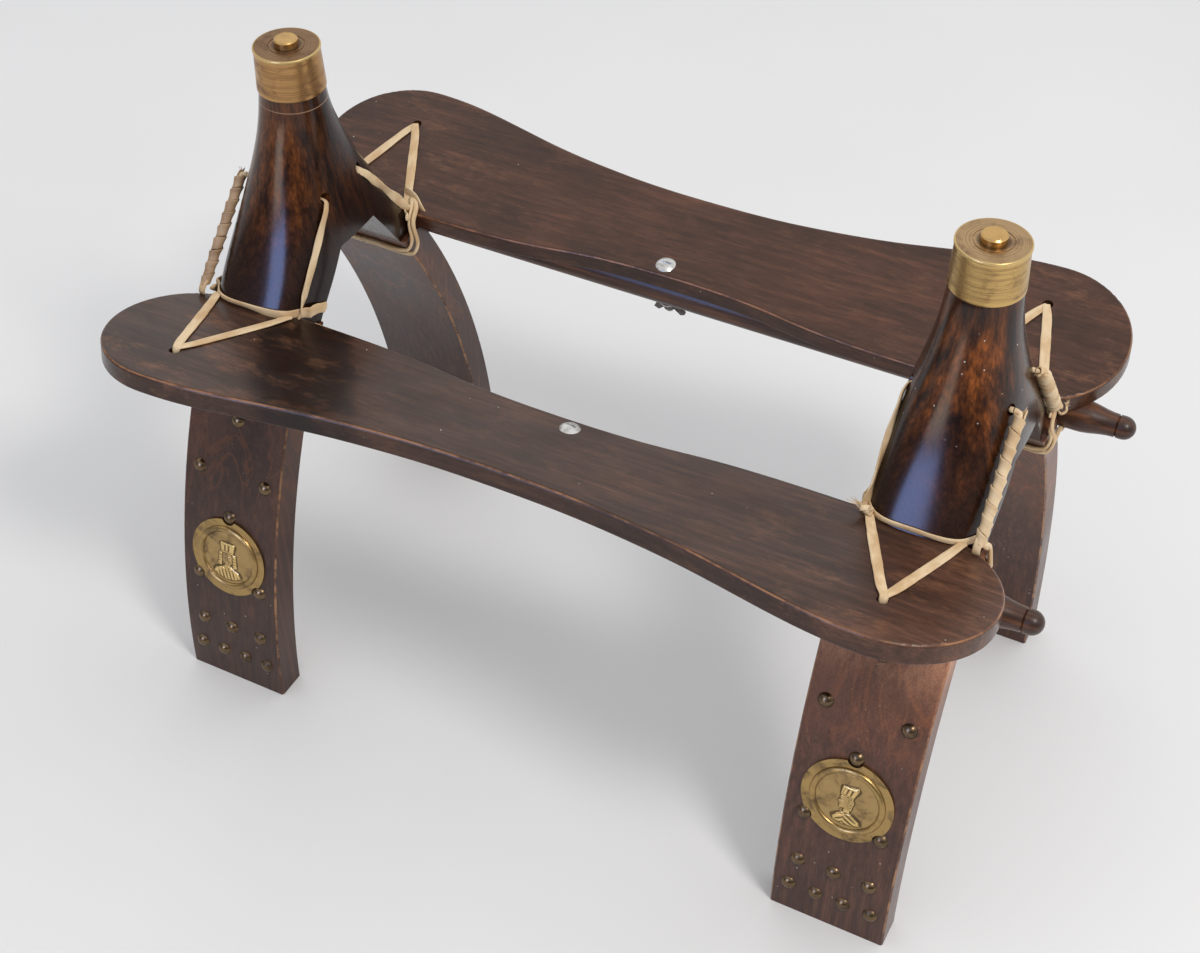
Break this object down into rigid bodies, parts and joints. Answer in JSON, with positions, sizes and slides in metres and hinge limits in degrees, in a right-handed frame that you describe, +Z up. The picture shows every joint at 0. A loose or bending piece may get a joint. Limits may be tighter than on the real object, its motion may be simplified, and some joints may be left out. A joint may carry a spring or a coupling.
{
  "type": "camel saddle stool",
  "caption": "Saddle shaped stool frame: bowed legs and carved pommels joined by tilted, waisted side boards on rods, laced with rawhide and trimmed in brass.",
  "frame": {"origin": "centre of the stool's footprint, on the floor", "axes": "+X along the side boards, +Y from the near side to the far side, +Z up"},
  "size_m": [0.712, 0.4118, 0.5008],
  "materials": {
    "leg_wood": "satin stained",
    "pommel_wood": "gloss lacquer",
    "board_wood": "satin stained",
    "rod_wood": "gloss lacquer",
    "tack_brass": "antique",
    "medallion_brass": "antique",
    "ferrule_brass": "brushed and aged",
    "cap_brass": "aged",
    "button_brass": "polished",
    "bolt_zinc": "zinc plated",
    "washer_zinc": "zinc plated",
    "nut_steel": "dark plated",
    "rawhide": "dry rawhide"
  },
  "bodies": {
    "stool": {"leg_left_near": "leg_wood", "leg_left_far": "leg_wood", "leg_right_near": "leg_wood", "leg_right_far": "leg_wood", "pommel_left_near": "pommel_wood", "pommel_left_far": "pommel_wood", "pommel_right_near": "pommel_wood", "pommel_right_far": "pommel_wood", "tacks_left_near": "tack_brass", "tacks_left_far": "tack_brass", "tacks_right_near": "tack_brass", "tacks_right_far": "tack_brass", "medallion_left_near": "medallion_brass", "medallion_left_far": "medallion_brass", "medallion_right_near": "medallion_brass", "medallion_right_far": "medallion_brass", "foot_band_left_near": "rawhide", "foot_band_left_far": "rawhide", "foot_band_right_near": "rawhide", "foot_band_right_far": "rawhide", "board_lace_left_near": "rawhide", "board_lace_left_far": "rawhide", "board_lace_right_near": "rawhide", "board_lace_right_far": "rawhide", "flat_strap_left_near": "rawhide", "flat_strap_left_far": "rawhide", "flat_strap_right_near": "rawhide", "flat_strap_right_far": "rawhide", "lace_core_left_near": "rawhide", "lace_core_left_far": "rawhide", "lace_core_right_near": "rawhide", "lace_core_right_far": "rawhide", "lace_winding_left_near": "rawhide", "lace_winding_left_far": "rawhide", "lace_winding_right_near": "rawhide", "lace_winding_right_far": "rawhide", "leg_sling_left_near": "rawhide", "leg_sling_left_far": "rawhide", "leg_sling_right_near": "rawhide", "leg_sling_right_far": "rawhide", "ferrule_left": "ferrule_brass", "ferrule_right": "ferrule_brass", "cap_disc_left": "cap_brass", "cap_disc_right": "cap_brass", "finial_screw_left": "button_brass", "finial_screw_right": "button_brass", "side_board_near": "board_wood", "side_board_far": "board_wood", "rod_near": "rod_wood", "rod_far": "rod_wood", "clamp_bolt_near": "bolt_zinc", "clamp_bolt_far": "bolt_zinc", "washer_near": "washer_zinc", "washer_far": "washer_zinc"},
    "wing_nut_far": {"wing_nut_far": "nut_steel"},
    "wing_nut_near": {"wing_nut_near": "nut_steel"}
  },
  "joints": [
    {"name": "wing_nut_far_turn", "type": "hinge", "parent": "stool", "child": "wing_nut_far", "pos_m": [-0.008, 0.10661, 0.27986], "axis": [0, -0.1908, 0.9816], "continuous": true},
    {"name": "wing_nut_near_turn", "type": "hinge", "parent": "stool", "child": "wing_nut_near", "pos_m": [0.015, -0.10661, 0.27986], "axis": [0, 0.1908, 0.9816], "continuous": true}
  ]
}
